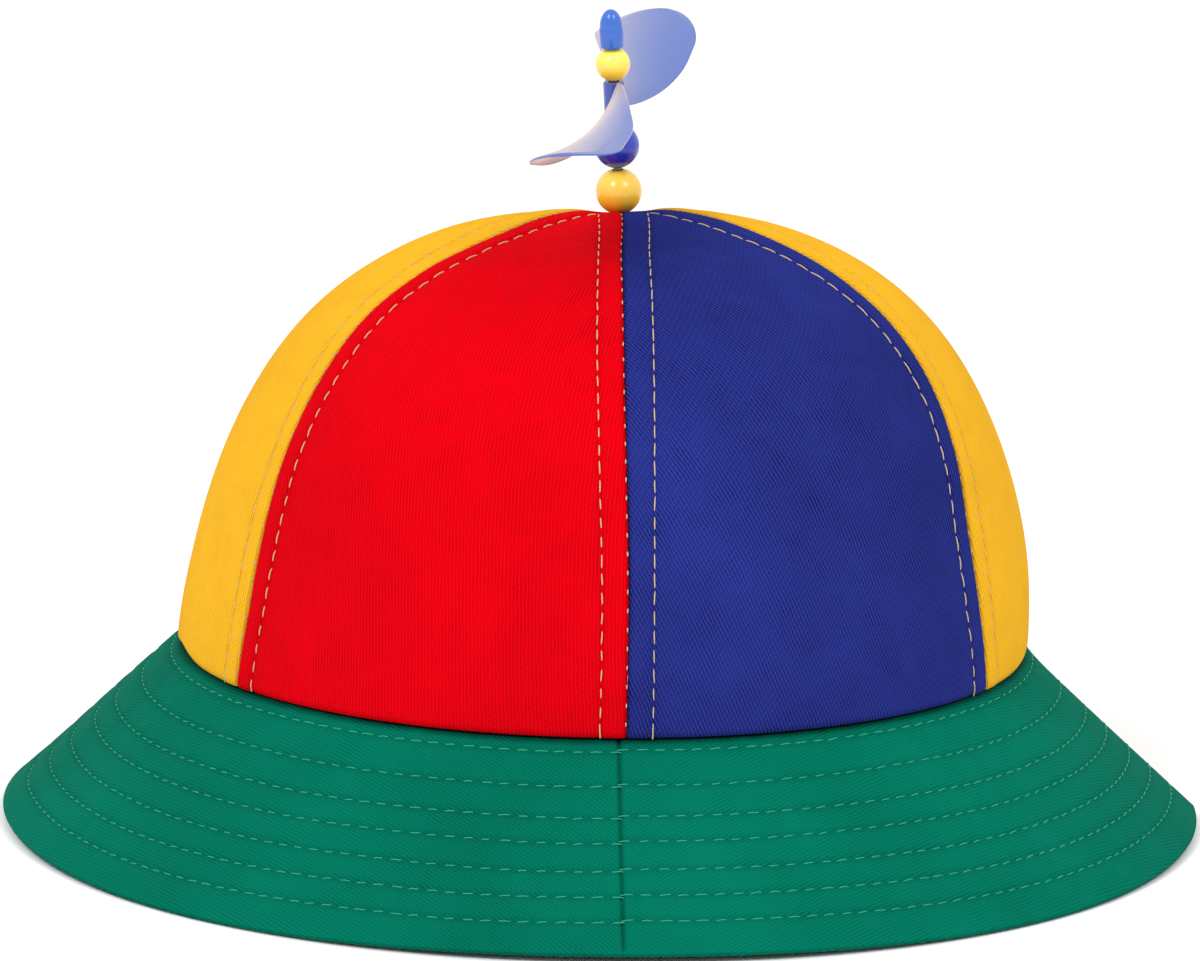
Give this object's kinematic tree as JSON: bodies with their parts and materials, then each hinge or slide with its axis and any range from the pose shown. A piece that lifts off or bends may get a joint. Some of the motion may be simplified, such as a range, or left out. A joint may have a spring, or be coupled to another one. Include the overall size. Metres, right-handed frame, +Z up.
{
  "type": "propeller beanie",
  "caption": "Round cloth hat of coloured panels with a sloping stitched brim, and a beaded pin on top that carries a free-spinning two-blade propeller.",
  "frame": {"origin": "on the resting plane, at the middle of the brim's rim", "axes": "+Z up out of the crown; -Y is the front, where the seam between the red and the blue panel lies; +X is the wearer's left"},
  "size_m": [0.2656, 0.2656, 0.1815],
  "materials": {
    "cloth_red": "matt cotton twill",
    "cloth_blue": "matt cotton twill",
    "cloth_yellow": "matt cotton twill",
    "cloth_green": "matt cotton twill, stitched in rows",
    "pin_metal": "plain bright wire",
    "bead_yellow": "glossy moulded plastic",
    "bead_blue": "glossy moulded plastic",
    "bead_pale_yellow": "glossy moulded plastic",
    "propeller_plastic": "milky blue-violet moulded plastic, thin and a little see-through",
    "cap_blue": "glossy moulded plastic"
  },
  "bodies": {
    "hat": {"crown_panel_front_right": "cloth_blue", "crown_panel_right": "cloth_yellow", "crown_panel_back_right": "cloth_red", "crown_panel_back_left": "cloth_blue", "crown_panel_left": "cloth_yellow", "crown_panel_front_left": "cloth_red", "brim": "cloth_green", "axle_pin": "pin_metal", "bead_base": "bead_yellow", "bead_middle": "bead_blue", "bead_top": "bead_pale_yellow", "axle_cap": "cap_blue"},
    "spinner": {"propeller": "propeller_plastic"}
  },
  "joints": [
    {"name": "propeller_spin", "type": "hinge", "parent": "hat", "child": "spinner", "pos_m": [0.00068, -0.00271, 0.16067], "axis": [-0.0663, -0.1043, 0.9923], "continuous": true}
  ]
}
